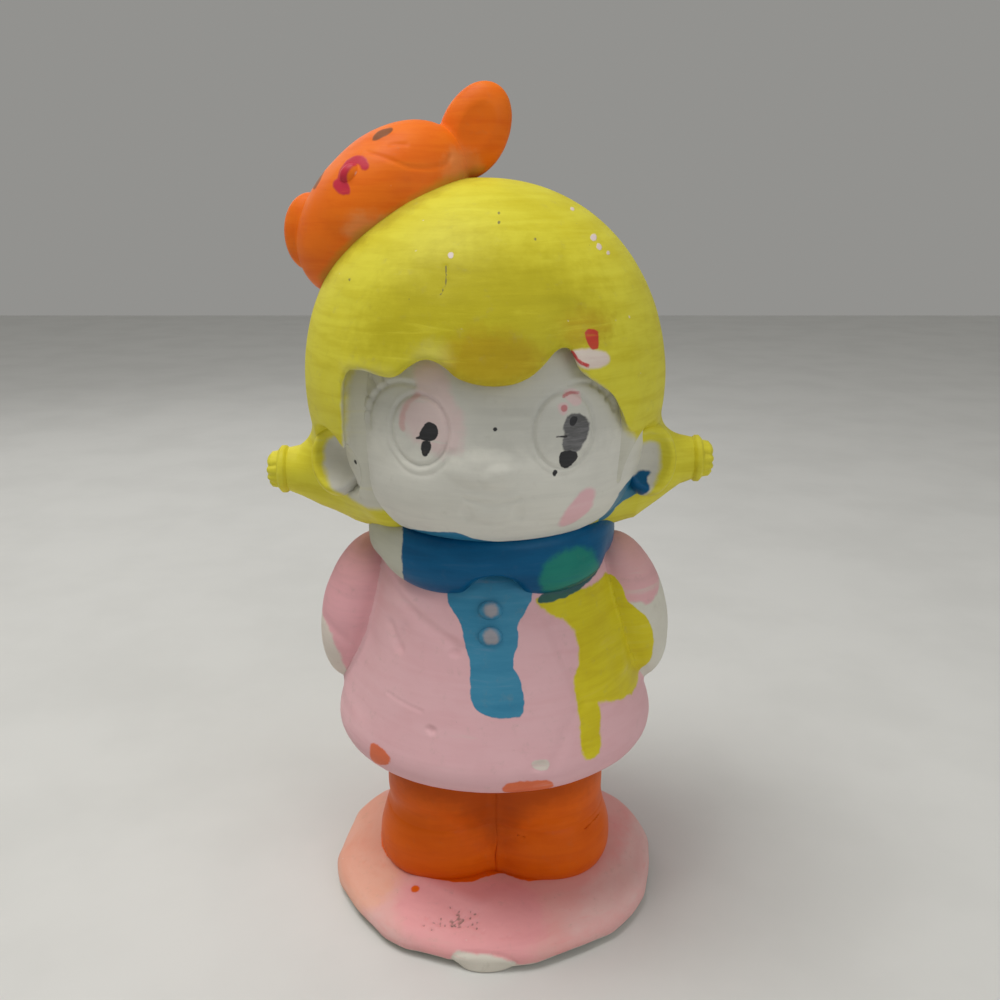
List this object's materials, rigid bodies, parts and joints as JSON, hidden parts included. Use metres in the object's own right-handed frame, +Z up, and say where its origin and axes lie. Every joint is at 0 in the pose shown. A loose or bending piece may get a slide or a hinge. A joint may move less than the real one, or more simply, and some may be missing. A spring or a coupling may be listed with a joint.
{
  "type": "painted plaster figurine",
  "caption": "Hand-painted plaster figurine of a girl in a bell coat and scarf, with bobbed hair and a small bear on her head, standing on a round mound.",
  "frame": {"origin": "centre of the mound's flat underside", "axes": "+Z up; the figure faces -Y and its own left is +X"},
  "size_m": [0.1076, 0.0883, 0.2001],
  "materials": {
    "pink_base_paint": "matte",
    "orange_paint": "matte",
    "pink_coat_paint": "matte",
    "button_paint": "matte",
    "blue_paint": "matte",
    "bare_plaster": "matte",
    "face_plaster": "matte",
    "yellow_paint": "matte",
    "bear_paint": "matte"
  },
  "bodies": {
    "root": {"base_mound": "pink_base_paint", "left_shoe": "orange_paint", "right_shoe": "orange_paint", "left_leg": "orange_paint", "right_leg": "orange_paint", "coat": "pink_coat_paint", "coat_buttons": "button_paint", "scarf": "blue_paint", "left_sleeve": "pink_coat_paint", "right_sleeve": "pink_coat_paint", "left_hand": "bare_plaster", "right_hand": "bare_plaster", "neck_peg": "bare_plaster", "head": "face_plaster", "left_ear": "bare_plaster", "right_ear": "bare_plaster", "hair_cap": "yellow_paint", "left_flick": "yellow_paint", "right_flick": "yellow_paint", "left_hair_band": "yellow_paint", "right_hair_band": "yellow_paint", "left_hair_tip": "yellow_paint", "right_hair_tip": "yellow_paint", "bear_head": "bear_paint", "bear_left_ear": "bear_paint", "bear_right_ear": "bear_paint", "bear_nose": "bear_paint"}
  },
  "joints": []
}
